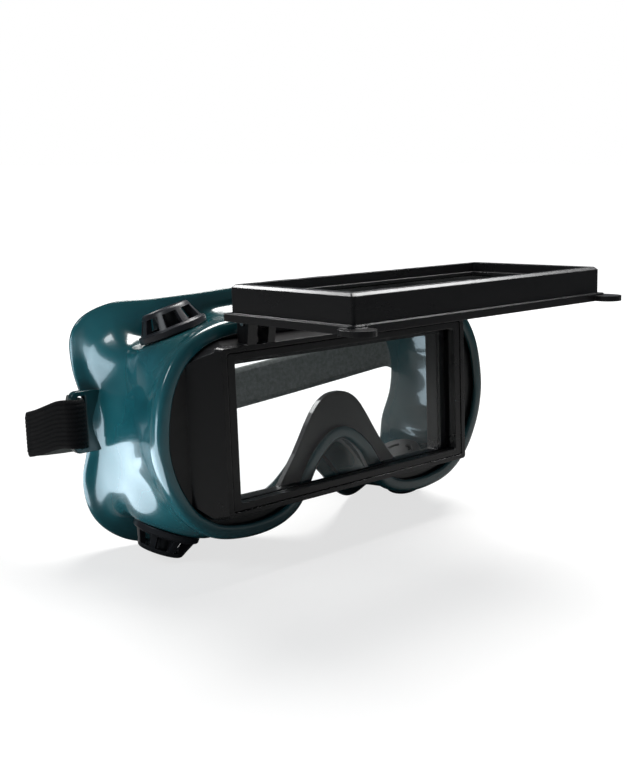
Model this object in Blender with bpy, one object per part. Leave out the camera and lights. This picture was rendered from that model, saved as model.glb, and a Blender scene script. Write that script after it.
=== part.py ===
"""Welding goggles with a lift-up shade, as an assembly of separate pieces.

Lengths are in metres in the scene and in millimetres in the constants below.
The goggles have their own upright frame: x is sideways, n is how far forward of the
window rim a point lies, and h is the height above the window's centre. The whole set
leans back a little, resting on the lower vents and the rear flange.
"""

import math

import bmesh
import bpy
from mathutils import Matrix, Vector

MM = 0.001

# How the goggles rest on the floor.
LEAN_BACK_DEG = 3.1
REST_HEIGHT = 50.51
REST_FORWARD = -12.23

# Window frame of the lens carrier.
RIM_WIDTH = 118.0
RIM_HEIGHT = 56.6
ROOT_WIDTH = 134.0
ROOT_HEIGHT = 60.6
PLATE_FRONT = -10.2
PLATE_BACK = -12.4
BEHIND_LIP_FRONT = -7.6
RIM_DEPTH = 2.2
RETAINER_RECESS = (114.0, 53.2)
LENS_SEAT = (109.0, 50.8)
LENS_SIZE = (108.0, 50.0)
VIEW_HALF_WIDTH = 50.5
VIEW_TOP = 22.0
VIEW_BOTTOM = -24.6
NOSE_PEAK = ((29.0, -24.8), (21.0, -14.5), (12.0, -0.8), (6.0, 4.2), (0.0, 5.4))

# Hinge of the lift-up frame, on top of the window frame.
HINGE_N = -1.9
HINGE_H = 35.7
LIFTED_DEG = 89.0
LUG_SPANS = ((36.6, 39.6), (44.5, 48.3))
KNUCKLE_SPAN = (39.9, 44.2)
PIN_RADIUS = 1.0
PIN_HOLE_RADIUS = 1.25

# Lift-up frame, given in its closed position.
FLIP_BACK = 0.3
FLANGE_THICK = 2.5
FLIP_TOP = 27.8
FLIP_WIDTH = 118.0
FLIP_HEIGHT = 55.6
FLIP_DEPTH = 9.05
FLANGE_SIDE = 2.0
FLANGE_TOP = 2.3
FLANGE_FOOT = 1.5
FLIP_BORE = (111.0, 50.8)
FLIP_VIEW = (104.6, 46.6)
FLIP_BEVEL = 0.9
TAB_THICK = 1.8

# Soft body: half outlines seen from the front, from top centre round to the nose.
LIP_OUTLINE = (
    (0, 37.0), (14, 37.2), (28, 37.2), (42, 36.8), (54, 35.6), (64, 32.0), (72, 25.5),
    (77.5, 15.5), (80, 3), (79.8, -7), (76.5, -18), (69.5, -29), (59, -36.5), (46, -39.3),
    (34, -39), (25, -36.3), (18.5, -31), (10, -18.5), (0, -12.4),
)
WAIST_OUTLINE = (
    (0, 36.0), (14, 36.0), (28, 35.4), (41, 34.4), (52, 32.6), (61.5, 29), (68, 22.5),
    (71.8, 13), (73.6, 3), (73.4, -7), (72.3, -18), (69.2, -29.5), (61, -37.6),
    (48.5, -39.9), (36, -39.6), (27, -36.5), (20, -30.6), (11, -18.6), (0, -12.4),
)
REAR_OUTLINE = (
    (0, 42.0), (14, 42.0), (28, 41.0), (41, 39.5), (54, 38.2), (67, 37.6), (75.8, 32.0),
    (76, 20), (75.4, 6), (75, -7.5), (74.8, -21), (72, -33), (62.5, -41.2), (50, -43.4),
    (39, -43), (29, -40), (18.5, -34.5), (7.5, -25), (0, -20),
)
REAR_DEPTH = (
    -29, -29.5, -32, -37.5, -46, -52.5, -57.5, -58.6, -53, -53.4, -58.6, -58.3, -56, -51,
    -45, -38.5, -31.5, -27, -25.5,
)
WAIST_AT = 0.45
HALF_STATIONS = 30
LIP_FRONT = -8.0
LIP_WIDTH = 5.3
FLANGE_WIDTH = 4.3
REAR_WALL = 3.2

# Vents: side, base centre (x, n, h) on the left and the way its cap points.
VENTS = {
    "upper": ((-57.0, -29.0, 31.8), (-0.24, -0.22, 0.95)),
    "lower": ((-59.5, -36.0, -37.4), (-0.36, -0.12, -0.93)),
}
VENT_BASE_RADIUS = 12.0
VENT_TOP_RADIUS = 8.2
VENT_HEIGHT = 8.9
VENT_BOSS = ((7.6, -5.4), (12.9, -5.4), (12.9, -0.3), (7.6, -0.3))

# Head strap.
STRAP_WIDTH = 17.0
STRAP_THICK = 1.8
EAR_X = (73.0, 85.6)
EAR_N = (-50.9, -54.1)
EAR_HEIGHT = 22.0
EAR_CENTRE_H = 1.8
SLOT_X = (80.3, 83.1)
SLOT_HEIGHT = 18.2

goggles = bpy.data.collections.new("welding_goggles")
cutters = bpy.data.collections.new("cutters")


def point(x, n, h):
    """A place in the goggles' own frame, in metres."""
    return Vector((x, -n, h)) * MM


def clear_scene():
    for obj in list(bpy.data.objects):
        bpy.data.objects.remove(obj, do_unlink=True)
    for collection in (goggles, cutters):
        bpy.context.scene.collection.children.link(collection)
    cutters.hide_render = True


def material(name, colour, roughness, metallic=0.0, alpha=1.0):
    made = bpy.data.materials.new(name)
    made.use_nodes = True
    shader = made.node_tree.nodes["Principled BSDF"]
    shader.inputs["Base Color"].default_value = (*colour, 1.0)
    shader.inputs["Roughness"].default_value = roughness
    shader.inputs["Metallic"].default_value = metallic
    shader.inputs["Alpha"].default_value = alpha
    return made


def add_piece(name, mesh_maker, look):
    """A visible piece of the goggles."""
    mesh = bpy.data.meshes.new(name)
    mesh_maker(mesh)
    obj = bpy.data.objects.new(name, mesh)
    obj.data.materials.append(look)
    goggles.objects.link(obj)
    return obj


def add_cutter(name, mesh_maker):
    """A helper shape that a Boolean uses."""
    mesh = bpy.data.meshes.new(name)
    mesh_maker(mesh)
    obj = bpy.data.objects.new(name, mesh)
    cutters.objects.link(obj)
    obj.hide_render = True
    obj.display_type = "WIRE"
    return obj


def join(obj, other, operation):
    change = obj.modifiers.new(operation.lower() + "_" + other.name, "BOOLEAN")
    change.operation = operation
    change.solver = "EXACT"
    change.object = other


def finish(bm, mesh):
    bmesh.ops.recalc_face_normals(bm, faces=bm.faces)
    bm.to_mesh(mesh)
    bm.free()


def hull_of(points):
    """Mesh maker for the convex hull of some points."""

    def make(mesh):
        bm = bmesh.new()
        for place in points:
            bm.verts.new(place)
        hull = bmesh.ops.convex_hull(bm, input=bm.verts)
        loose = [v for v in hull["geom_interior"] if isinstance(v, bmesh.types.BMVert)]
        bmesh.ops.delete(bm, geom=loose, context="VERTS")
        finish(bm, mesh)

    return make


def box(x_span, n_span, h_span):
    return hull_of([point(x, n, h) for x in x_span for n in n_span for h in h_span])


def prism(outline, near, far):
    """Mesh maker for a front outline of (x, h) points, from depth near to depth far."""

    def make(mesh):
        bm = bmesh.new()
        face = bm.faces.new([bm.verts.new(point(x, near, h)) for x, h in outline])
        grown = bmesh.ops.extrude_face_region(bm, geom=[face])
        moved = [v for v in grown["geom"] if isinstance(v, bmesh.types.BMVert)]
        bmesh.ops.translate(bm, verts=moved, vec=point(0, far - near, 0))
        finish(bm, mesh)

    return make


def ring_prism(outer, inner, near, far):
    """Mesh maker for the space between two outlines that have the same number of points."""

    def make(mesh):
        bm = bmesh.new()
        rings = []
        for outline in (outer, inner):
            for depth in (near, far):
                rings.append([bm.verts.new(point(x, depth, h)) for x, h in outline])
        outer_near, outer_far, inner_near, inner_far = rings
        count = len(outer_near)
        for i in range(count):
            j = (i + 1) % count
            bm.faces.new((outer_near[i], outer_near[j], outer_far[j], outer_far[i]))
            bm.faces.new((inner_near[j], inner_near[i], inner_far[i], inner_far[j]))
            bm.faces.new((outer_near[j], outer_near[i], inner_near[i], inner_near[j]))
            bm.faces.new((outer_far[i], outer_far[j], inner_far[j], inner_far[i]))
        finish(bm, mesh)

    return make


def frame_ring(outer, inner, near, far, centre_h=0.0, corner=1.5, inner_centre=None):
    """Mesh maker for a flat rectangular ring."""
    hole_centre = centre_h if inner_centre is None else inner_centre
    return ring_prism(
        rounded_rectangle(*outer, corner, centre_h),
        rounded_rectangle(*inner, corner, hole_centre),
        near,
        far,
    )


def rounded_rectangle(width, height, radius, centre_h=0.0, steps=3):
    outline = []
    for quarter in range(4):
        side_x = (1, -1, -1, 1)[quarter]
        side_h = (1, 1, -1, -1)[quarter]
        cx = side_x * (width / 2 - radius)
        ch = side_h * (height / 2 - radius) + centre_h
        for step in range(steps + 1):
            turn = math.radians(90 * quarter + 90 * step / steps)
            outline.append((cx + radius * math.cos(turn), ch + radius * math.sin(turn)))
    return outline


def revolve(profile, steps, matrix):
    """Mesh maker that spins a closed (radius, height) profile round its own axis."""

    def make(mesh):
        bm = bmesh.new()
        rings = []
        for radius, height in profile:
            if radius == 0:
                rings.append([bm.verts.new((0, 0, height * MM))])
                continue
            ring = []
            for step in range(steps):
                turn = 2 * math.pi * step / steps
                at = (radius * math.cos(turn) * MM, radius * math.sin(turn) * MM, height * MM)
                ring.append(bm.verts.new(at))
            rings.append(ring)
        pairs = list(zip(rings, rings[1:]))
        if profile[0][0] and profile[-1][0]:
            pairs.append((rings[-1], rings[0]))
        for low, high in pairs:
            for step in range(steps):
                after = (step + 1) % steps
                corners = [low[step % len(low)], low[after % len(low)]]
                corners += [high[after % len(high)], high[step % len(high)]]
                unique = list(dict.fromkeys(corners))
                if len(unique) > 2:
                    bm.faces.new(unique)
        bmesh.ops.transform(bm, matrix=matrix, verts=bm.verts)
        finish(bm, mesh)

    return make


def smooth_value(values, t):
    """Catmull-Rom value of a list of numbers, mirrored past both ends."""
    last = len(values) - 1
    i = min(int(t), last - 1)
    u = t - i
    places = (i - 1, i, i + 1, i + 2)
    before, a, b, after = (values[min(abs(k), 2 * last - abs(k))] for k in places)
    slope_a = (b - before) / 2
    slope_b = (after - a) / 2
    u2, u3 = u * u, u * u * u
    return (
        (2 * u3 - 3 * u2 + 1) * a
        + (u3 - 2 * u2 + u) * slope_a
        + (3 * u2 - 2 * u3) * b
        + (u3 - u2) * slope_b
    )


def outline_at(outline, t):
    """Point of a half outline. Its sideways values change sign past either end."""
    last = len(outline) - 1
    i = min(int(t), last - 1)
    picks = []
    for k in (i - 1, i, i + 1, i + 2):
        mirrored = k < 0 or k > last
        x, h = outline[min(abs(k), 2 * last - abs(k))]
        picks.append((-x if mirrored else x, h))
    u = t - i
    u2, u3 = u * u, u * u * u
    result = []
    for axis in (0, 1):
        before, a, b, after = (p[axis] for p in picks)
        result.append(
            (2 * u3 - 3 * u2 + 1) * a
            + (u3 - 2 * u2 + u) * (b - before) / 2
            + (3 * u2 - 2 * u3) * b
            + (u3 - u2) * (after - a) / 2
        )
    return tuple(result)


def full_ring(outline):
    """The outline as a whole ring, right side first, then the left side back to the top."""
    last = len(outline) - 1
    right = [outline_at(outline, last * k / HALF_STATIONS) for k in range(HALF_STATIONS + 1)]
    left = [(-x, h) for x, h in right[-2:0:-1]]
    return right + left


def outward(ring):
    """Unit vectors pointing out of a ring that runs clockwise seen from the front."""
    found = []
    count = len(ring)
    for k in range(count):
        ax, ah = ring[k - 1]
        bx, bh = ring[(k + 1) % count]
        dx, dh = bx - ax, bh - ah
        size = math.hypot(dx, dh)
        found.append((-dh / size, dx / size))
    return found


def offset(at, way, distance):
    return (at[0] + way[0] * distance, at[1] + way[1] * distance)


def flank_at(lip, waist, rear, depth, f):
    """Place on the side wall, f of the way from the collar to the rear flange."""
    w_lip = (1 - f) * (WAIST_AT - f) / WAIST_AT
    w_waist = f * (1 - f) / (WAIST_AT * (1 - WAIST_AT))
    w_rear = f * (f - WAIST_AT) / (1 - WAIST_AT)
    x = w_lip * lip[0] + w_waist * waist[0] + w_rear * rear[0]
    h = w_lip * lip[1] + w_waist * waist[1] + w_rear * rear[1]
    collar_end = -13.8
    return (x, h), collar_end + f * (depth - collar_end)


def body_sections():
    """One closed cross-section of the wall for each station round the goggles."""
    lip = full_ring(LIP_OUTLINE)
    waist = full_ring(WAIST_OUTLINE)
    rear = full_ring(REAR_OUTLINE)
    last = len(REAR_DEPTH) - 1
    right = [smooth_value(REAR_DEPTH, last * k / HALF_STATIONS) for k in range(HALF_STATIONS + 1)]
    depth = right + right[-2:0:-1]
    lip_out = outward(lip)
    rear_out = outward(rear)
    sections = []
    for k in range(len(lip)):
        at, way = lip[k], lip_out[k]
        back, back_way, deep = rear[k], rear_out[k], depth[k]
        collar = offset(at, way, -1.3)
        wall = [flank_at(collar, waist[k], back, deep, f) for f in (0.22, 0.45, 0.70, 0.90)]
        section = [
            (offset(at, way, -LIP_WIDTH), LIP_FRONT - 0.5),
            (offset(at, way, -LIP_WIDTH + 0.8), LIP_FRONT),
            (offset(at, way, -1.1), LIP_FRONT),
            (at, LIP_FRONT - 1.1),
            (at, -12.6),
            (offset(at, way, -1.3), -13.8),
        ]
        section += wall
        section += [
            (back, deep + 2.2),
            (offset(back, back_way, FLANGE_WIDTH - 0.4), deep + 1.2),
            (offset(back, back_way, FLANGE_WIDTH), deep - 0.8),
            (offset(back, back_way, -1.4), deep - 1.4),
            (offset(back, back_way, -REAR_WALL), deep - 0.4),
        ]
        for f, thick in ((0.84, 3.2), (0.60, 2.8), (0.36, 2.4)):
            place, n = flank_at(collar, waist[k], back, deep, f)
            section.append((offset(place, way, -thick), n))
        section += [
            (offset(at, way, -3.6), -17.2),
            (offset(at, way, -6.0), -15.2),
            (offset(at, way, -6.0), -13.1),
            (offset(at, way, -2.3), -13.1),
            (offset(at, way, -2.3), -9.9),
            (offset(at, way, -LIP_WIDTH), -9.9),
        ]
        sections.append([point(x, n, h) for (x, h), n in section])
    return sections


def ring_loft(sections):
    """Mesh maker that joins closed sections into a closed ring."""

    def make(mesh):
        bm = bmesh.new()
        grid = [[bm.verts.new(place) for place in section] for section in sections]
        for a, b in zip(grid, grid[1:] + grid[:1]):
            for k in range(len(a)):
                m = (k + 1) % len(a)
                bm.faces.new((a[k], a[m], b[m], b[k]))
        bmesh.ops.triangulate(bm, faces=bm.faces)
        finish(bm, mesh)

    return make


def strip_loft(sections):
    """Mesh maker that joins closed sections into a strip with two end caps."""

    def make(mesh):
        bm = bmesh.new()
        grid = [[bm.verts.new(place) for place in section] for section in sections]
        for a, b in zip(grid, grid[1:]):
            for k in range(len(a)):
                m = (k + 1) % len(a)
                bm.faces.new((a[k], a[m], b[m], b[k]))
        bm.faces.new(grid[0])
        bm.faces.new(grid[-1])
        finish(bm, mesh)

    return make


def vent_matrix(which, side):
    """Puts a shape made round +Z onto a vent's base. side is -1 on the left, 1 on the right."""
    (x, n, h), (ax, an, ah) = VENTS[which]
    way = Vector((-side * ax, -an, ah)).normalized()
    turn = way.to_track_quat("Z", "X").to_matrix().to_4x4()
    return Matrix.Translation(point(-side * x, n, h)) @ turn


def disc_profile(radius, low, high):
    return ((0, low), (radius, low), (radius, high), (0, high))


def ear_outline(side):
    """The strap ear that stands out of the rear flange at the temple."""
    width = EAR_X[1] - EAR_X[0]
    middle = side * (EAR_X[0] + EAR_X[1]) / 2
    return [(x + middle, h) for x, h in rounded_rectangle(width, EAR_HEIGHT, 2.0, EAR_CENTRE_H)]


def build_body(look):
    body = add_piece("goggle_body", ring_loft(body_sections()), look)
    bosses = []
    for side, word in ((-1, "left"), (1, "right")):
        ear = add_cutter(f"strap_ear_{word}", prism(ear_outline(side), *EAR_N))
        slot_x = (side * SLOT_X[0], side * SLOT_X[1])
        slot_h = (EAR_CENTRE_H - SLOT_HEIGHT / 2, EAR_CENTRE_H + SLOT_HEIGHT / 2)
        slot = add_cutter(f"strap_slot_{word}", box(slot_x, (-48.0, -57.0), slot_h))
        join(ear, slot, "DIFFERENCE")
        join(body, ear, "UNION")
        for which in VENTS:
            name = f"{which}_{word}"
            where = vent_matrix(which, side)
            boss = add_cutter(f"vent_boss_{name}", revolve(VENT_BOSS, 24, where))
            flat = add_cutter(f"vent_flat_{name}", revolve(disc_profile(12.5, -0.3, 9.0), 24, where))
            hole = add_cutter(f"vent_hole_{name}", revolve(disc_profile(9.9, -9.0, 6.0), 24, where))
            join(body, flat, "DIFFERENCE")
            join(body, hole, "DIFFERENCE")
            bosses.append(boss)
    for boss in bosses:
        join(body, boss, "UNION")
        tidy = body.modifiers.new("weld_" + boss.name, "WELD")
        tidy.merge_threshold = 0.00001
    return body


def build_vents(look):
    half_window = 2.4
    for side, word in ((-1, "left"), (1, "right")):
        for which in VENTS:
            where = vent_matrix(which, side)
            base, top, tall = VENT_BASE_RADIUS, VENT_TOP_RADIUS, VENT_HEIGHT
            profile = (
                (7.2, -5.6), (7.2, 0.0), (base, 0.0), (base, 1.9), (base - 0.8, 2.3), (top, tall - 0.5),
                (top - 0.5, tall), (0, tall), (0, tall - 1.5), (top - 2.0, tall - 1.5), (base - 3.9, 1.2),
                (5.8, 0.6), (5.8, -5.6),
            )
            cap = add_piece(f"vent_cap_{which}_{word}", revolve(profile, 24, where), look)
            for k in range(4):
                turn = Matrix.Rotation(math.radians(45 * k + 16), 4, "Z")
                slit = add_cutter(
                    f"vent_window_{which}_{word}_{k}",
                    hull_of(
                        [
                            where @ turn @ (Vector((x, y, z)) * MM)
                            for x in (-14, 14)
                            for y in (-half_window, half_window)
                            for z in (3.1, 6.5)
                        ]
                    ),
                )
                join(cap, slit, "DIFFERENCE")
            build_vent_disc(f"vent_disc_{which}_{word}", where, look)


def build_vent_disc(name, where, look):
    """The inner disc clips on the cap's sleeve. Four curved slots let the air through."""
    disc = add_piece(
        name,
        revolve(disc_profile(9.4, -7.5, -6.1), 24, where),
        look,
    )
    for k in range(4):
        start = 90 * k + 18
        arc = []
        for radius, order in ((6.2, (0, 1, 2, 3)), (4.4, (3, 2, 1, 0))):
            for step in order:
                turn = math.radians(start + 54 * step / 3)
                arc.append((radius * math.cos(turn), radius * math.sin(turn)))
        slot = add_cutter(f"{name}_slot_{k}", upright_prism(arc, -9.0, -4.5, where))
        join(disc, slot, "DIFFERENCE")


def upright_prism(outline, low, high, where):
    def make(mesh):
        bm = bmesh.new()
        face = bm.faces.new([bm.verts.new((x * MM, y * MM, low * MM)) for x, y in outline])
        grown = bmesh.ops.extrude_face_region(bm, geom=[face])
        moved = [v for v in grown["geom"] if isinstance(v, bmesh.types.BMVert)]
        bmesh.ops.translate(bm, verts=moved, vec=(0, 0, (high - low) * MM))
        bmesh.ops.transform(bm, matrix=where, verts=bm.verts)
        finish(bm, mesh)

    return make


def lip_offset(distance):
    """The collar's outline, moved inwards."""
    ring = full_ring(LIP_OUTLINE)
    return [offset(at, way, -distance) for at, way in zip(ring, outward(ring))]


def view_outline():
    """The clear way through the carrier, with the nose peak standing up into it."""
    curved = 3 * (len(NOSE_PEAK) - 2)
    half = [NOSE_PEAK[0]] + [outline_at(NOSE_PEAK, 1 + k / 3) for k in range(curved + 1)]
    nose = [(-x, h) for x, h in half]
    nose += [(x, h) for x, h in reversed(half[:-1])]
    top = [(VIEW_HALF_WIDTH, VIEW_TOP), (-VIEW_HALF_WIDTH, VIEW_TOP)]
    bottom = [(-VIEW_HALF_WIDTH, VIEW_BOTTOM)]
    return top + bottom + nose + [(VIEW_HALF_WIDTH, VIEW_BOTTOM)]


def circle(centre_n, centre_h, radius, steps=16):
    spots = []
    for step in range(steps):
        turn = 2 * math.pi * step / steps
        spots.append((centre_n + radius * math.cos(turn), centre_h + radius * math.sin(turn)))
    return spots


def build_carrier(look):
    carrier = add_piece(
        "lens_carrier",
        prism(lip_offset(2.7), PLATE_FRONT, PLATE_BACK),
        look,
    )
    corners = [point(x, 0, h) for x, h in rounded_rectangle(RIM_WIDTH, RIM_HEIGHT, 1.2, steps=2)]
    root = rounded_rectangle(ROOT_WIDTH, ROOT_HEIGHT, 1.2, steps=2)
    corners += [point(x, PLATE_FRONT - 0.6, h) for x, h in root]
    window_box = add_cutter("window_box", hull_of(corners))
    beside_lip = add_cutter("beside_lip", box((-48, 48), (BEHIND_LIP_FRONT, -12.0), (-60, 60)))
    for side, word in ((-1, "left"), (1, "right")):
        corner = box((side * 47.5, side * 90), (-RIM_DEPTH, -12.0), (-60, 60))
        join(beside_lip, add_cutter(f"beside_lip_{word}", corner), "UNION")
    within_lip = prism(lip_offset(LIP_WIDTH + 0.35), -0.5, -14.0)
    join(beside_lip, add_cutter("within_lip", within_lip), "DIFFERENCE")
    join(window_box, beside_lip, "DIFFERENCE")
    join(carrier, window_box, "UNION")
    for side, word in ((-1, "left"), (1, "right")):
        for number, (low, high) in enumerate(LUG_SPANS):
            spots = circle(HINGE_N, HINGE_H, 3.1)
            spots += [(-5.2, 27.4), (-0.2, 27.4), (-0.2, 29.0), (-5.2, 29.0)]
            lug = hull_of([point(side * x, n, h) for x in (low, high) for n, h in spots])
            join(carrier, add_cutter(f"hinge_lug_{word}_{number}", lug), "UNION")
        hole = [
            point(side * x, n, h)
            for x in (35.0, 50.0)
            for n, h in circle(HINGE_N, HINGE_H, PIN_HOLE_RADIUS, 12)
        ]
        join(carrier, add_cutter(f"lug_bore_{word}", hull_of(hole)), "DIFFERENCE")
    join(carrier, add_cutter("view_cut", prism(view_outline(), -14.0, -9.0)), "DIFFERENCE")
    inside = box((-VIEW_HALF_WIDTH, VIEW_HALF_WIDTH), (PLATE_FRONT, -5.0), (VIEW_BOTTOM, VIEW_TOP))
    join(carrier, add_cutter("inside_cut", inside), "DIFFERENCE")
    seat = rounded_rectangle(*LENS_SEAT, 1.0)
    join(carrier, add_cutter("seat_cut", prism(seat, -7.0, -2.0)), "DIFFERENCE")
    recess = rounded_rectangle(*RETAINER_RECESS, 1.0)
    join(carrier, add_cutter("retainer_cut", prism(recess, -3.5, 1.0)), "DIFFERENCE")
    return carrier


def build_window(glass, rubber, plastic):
    outline = rounded_rectangle(*LENS_SIZE, 1.2)
    add_piece("window_lens", prism(outline, -4.1, -5.7), glass)
    view_height = VIEW_TOP - VIEW_BOTTOM - 0.4
    view_centre = (VIEW_TOP + VIEW_BOTTOM) / 2
    gasket = frame_ring(LENS_SIZE, (102.4, view_height), -6.0, -6.7, 0.0, 0.3, view_centre)
    add_piece("window_gasket", gasket, rubber)
    add_piece(
        "window_retainer",
        frame_ring((113.4, 52.6), (107.4, 47.8), -0.2, -3.4, corner=0.9),
        plastic,
    )


def build_pins(look):
    for side, word in ((-1, "left"), (1, "right")):
        ends = [
            point(side * x, n, h)
            for x in (36.0, 48.9)
            for n, h in circle(HINGE_N, HINGE_H, PIN_RADIUS, 12)
        ]
        add_piece(f"hinge_pin_{word}", hull_of(ends), look)


def closed_to_hinge(obj):
    """Moves a piece modelled closed into the lifted pose, its origin on the hinge axis."""
    axis = point(0, HINGE_N, HINGE_H)
    obj.data.transform(Matrix.Translation(-axis))
    obj.parent = bpy.data.objects["lift_hinge"]


def build_flip(plastic, shade_glass, clear, rubber):
    centre = FLIP_TOP - FLIP_HEIGHT / 2
    front = FLIP_BACK + FLANGE_THICK
    flange_top = FLIP_TOP + FLANGE_TOP
    flange_foot = FLIP_TOP - FLIP_HEIGHT - FLANGE_FOOT
    flange_height = flange_top - flange_foot
    flange_centre = (flange_top + flange_foot) / 2
    plate = rounded_rectangle(FLIP_WIDTH + 2 * FLANGE_SIDE, flange_height, 1.5, flange_centre)
    flip = add_piece("lift_frame", prism(plate, FLIP_BACK, front), plastic)
    rim = front + FLIP_DEPTH
    walls = []
    for inset, n in ((0.0, FLIP_BACK + 1.0), (0.0, rim - FLIP_BEVEL), (FLIP_BEVEL, rim)):
        size = (FLIP_WIDTH - 2 * inset, FLIP_HEIGHT - 2 * inset)
        walls += [point(x, n, h) for x, h in rounded_rectangle(*size, 0.9, centre)]
    box_part = add_cutter("lift_box", hull_of(walls))
    pieces = [box_part]
    for side, word in ((-1, "left"), (1, "right")):
        ear_foot = FLIP_TOP - 63.6
        ear = rounded_rectangle(9.0, 12.0, 4.4, ear_foot + 6.0, steps=5)
        ear = [(x + side * 59.5, h) for x, h in ear]
        pieces.append(add_cutter(f"finger_tab_{word}", prism(ear, FLIP_BACK, FLIP_BACK + TAB_THICK)))
        spots = circle(HINGE_N, HINGE_H, 2.9)
        spots += [(FLIP_BACK, 29.0), (front, 29.0), (front, 31.5)]
        arm = hull_of([point(side * x, n, h) for x in KNUCKLE_SPAN for n, h in spots])
        pieces.append(add_cutter(f"knuckle_{word}", arm))
    for piece in pieces:
        closed_to_hinge(piece)
        join(flip, piece, "UNION")
    holes = []
    for side, word in ((-1, "left"), (1, "right")):
        bore = [
            point(side * x, n, h)
            for x in (35.0, 50.0)
            for n, h in circle(HINGE_N, HINGE_H, PIN_HOLE_RADIUS, 12)
        ]
        holes.append(add_cutter(f"knuckle_bore_{word}", hull_of(bore)))
    view = rounded_rectangle(*FLIP_VIEW, 1.0, centre)
    holes.append(add_cutter("lift_view_cut", prism(view, -2.0, front + 1.0)))
    bore = rounded_rectangle(*FLIP_BORE, 0.8, centre)
    holes.append(add_cutter("lift_bore_cut", prism(bore, front, front + FLIP_DEPTH + 3.0)))
    for piece in holes:
        closed_to_hinge(piece)
        join(flip, piece, "DIFFERENCE")
    outline = rounded_rectangle(*LENS_SIZE, 0.8, centre)
    shade = add_piece("shade_lens", prism(outline, front + 0.3, front + 2.1), shade_glass)
    gasket = add_piece(
        "shade_gasket",
        frame_ring(LENS_SIZE, (104.0, 46.4), front + 2.4, front + 3.0, centre, 0.3),
        rubber,
    )
    cover = add_piece("cover_lens", prism(outline, front + 3.3, front + 4.4), clear)
    keeper = add_piece(
        "shade_retainer",
        frame_ring((110.4, 50.2), (104.4, 46.4), front + 4.7, front + 5.9, centre, 0.8),
        plastic,
    )
    for obj in (flip, shade, gasket, cover, keeper):
        closed_to_hinge(obj)


def strap_path():
    """Middle of the strap as (x, n, h), from the left end's tail to the right end's tail."""
    left = [
        (-81.0, -62.0, 1.8), (-81.6, -58.5, 1.8), (-81.7, -55.0, 1.8), (-81.7, -51.6, 1.8),
        (-81.9, -50.0, 1.8), (-82.9, -49.1, 1.8), (-84.6, -49.0, 1.8), (-86.0, -49.6, 1.8),
        (-86.9, -51.2, 1.8), (-87.0, -54.0, 1.5), (-86.8, -60.0, 0.4), (-86.3, -68.0, -1.9),
        (-85.5, -76.0, -4.2), (-84.8, -82.0, -5.7), (-84.2, -86.5, -6.7), (-83.0, -89.4, -7.3),
        (-80.8, -90.9, -7.7), (-78.0, -91.3, -8.0), (-74.0, -90.9, -8.3),
    ]
    across = []
    for k in range(1, 15):
        f = k / 15
        rise = -9.4 + 17.9 * f + 3.4 * f * (f - 1.0)
        across.append((-74.0 + 154.0 * f, -90.9 + 24.6 * f, rise))
    right = [
        (80.6, -65.8, 8.5), (83.4, -64.4, 7.8), (85.4, -62.0, 6.6), (86.6, -58.0, 4.4),
        (87.0, -54.0, 2.6), (86.9, -51.2, 1.8), (86.0, -49.6, 1.8), (84.6, -49.0, 1.8),
        (82.9, -49.1, 1.8), (81.9, -50.0, 1.8), (81.7, -51.6, 1.8), (81.7, -55.0, 1.8),
        (81.3, -58.0, 1.8), (80.5, -60.6, 1.8),
    ]
    return left + across + right


def build_strap(look):
    path = strap_path()
    sections = []
    for k, (x, n, h) in enumerate(path):
        ax, an, _ = path[max(k - 1, 0)]
        bx, bn, _ = path[min(k + 1, len(path) - 1)]
        dx, dn = bx - ax, bn - an
        size = math.hypot(dx, dn)
        across = (-dn / size * STRAP_THICK / 2, dx / size * STRAP_THICK / 2)
        half = STRAP_WIDTH / 2
        sections.append(
            [
                point(x + across[0], n + across[1], h + half),
                point(x + across[0], n + across[1], h - half),
                point(x - across[0], n - across[1], h - half),
                point(x - across[0], n - across[1], h + half),
            ]
        )
    add_piece("head_strap", strip_loft(sections), look)


def add_empty(name, location, turn_deg, parent=None):
    empty = bpy.data.objects.new(name, None)
    empty.empty_display_size = 0.02
    empty.location = location
    empty.rotation_euler = (math.radians(turn_deg), 0, 0)
    empty.parent = parent
    goggles.objects.link(empty)
    return empty


def main():
    clear_scene()
    soft = material("green_soft_plastic", (0.02, 0.17, 0.19), 0.25)
    black = material("black_plastic", (0.012, 0.012, 0.015), 0.35)
    vent_black = material("vent_plastic", (0.03, 0.03, 0.034), 0.4)
    clear = material("clear_lens", (0.92, 0.95, 0.95), 0.05, alpha=0.2)
    dark = material("shade_glass", (0.01, 0.03, 0.015), 0.05, alpha=0.9)
    rubber = material("gasket_rubber", (0.03, 0.03, 0.03), 0.7)
    webbing = material("strap_webbing", (0.02, 0.02, 0.022), 0.85)
    steel = material("pin_steel", (0.5, 0.5, 0.5), 0.3, metallic=1.0)

    root = add_empty("resting_goggles", (0, REST_FORWARD * MM, REST_HEIGHT * MM), -LEAN_BACK_DEG)
    add_empty("lift_hinge", point(0, HINGE_N, HINGE_H), -LIFTED_DEG, root)
    build_body(soft)
    build_vents(vent_black)
    build_carrier(black)
    build_window(clear, rubber, black)
    build_pins(steel)
    build_flip(black, dark, clear, rubber)
    build_strap(webbing)
    for obj in list(goggles.objects) + list(cutters.objects):
        if obj is not root and obj.parent is None:
            obj.parent = root


main()
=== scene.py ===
import math

import bmesh
import bpy
from mathutils import Matrix, Vector, kdtree


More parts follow.
